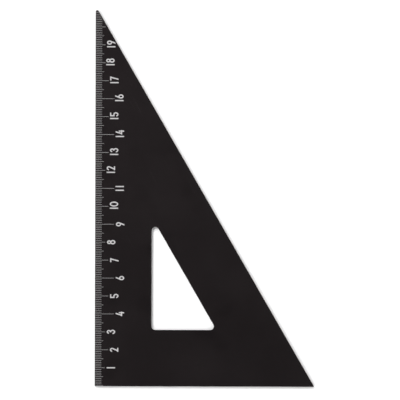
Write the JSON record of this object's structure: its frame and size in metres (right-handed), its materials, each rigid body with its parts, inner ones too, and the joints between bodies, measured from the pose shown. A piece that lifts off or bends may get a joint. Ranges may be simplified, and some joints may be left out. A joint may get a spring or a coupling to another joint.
{
  "type": "set square",
  "caption": "Flat 30-60-90 triangle in black anodised metal with an engraved centimetre scale along its long leg and a finger window.",
  "frame": {"origin": "right-angle corner at the underside, where the scale edge and the base edge meet", "axes": "+Y along the scale edge towards the sharp tip, +X along the base edge, +Z out of the marked face"},
  "size_m": [0.1222, 0.2097, 0.002],
  "materials": {
    "anodised_metal": "matte black anodised",
    "line_paint": "flat white engraving paint, thin",
    "number_paint": "flat white engraving paint"
  },
  "bodies": {
    "root": {"plate": "anodised_metal", "zero_line": "line_paint", "millimetre_lines": "line_paint", "half_centimetre_lines": "line_paint", "centimetre_lines_short": "line_paint", "centimetre_lines_middle": "line_paint", "centimetre_lines_long": "line_paint", "number_01": "number_paint", "number_02": "number_paint", "number_03": "number_paint", "number_04": "number_paint", "number_05": "number_paint", "number_06": "number_paint", "number_07": "number_paint", "number_08": "number_paint", "number_09": "number_paint", "number_10": "number_paint", "number_11": "number_paint", "number_12": "number_paint", "number_13": "number_paint", "number_14": "number_paint", "number_15": "number_paint", "number_16": "number_paint", "number_17": "number_paint", "number_18": "number_paint", "number_19": "number_paint"}
  },
  "joints": []
}
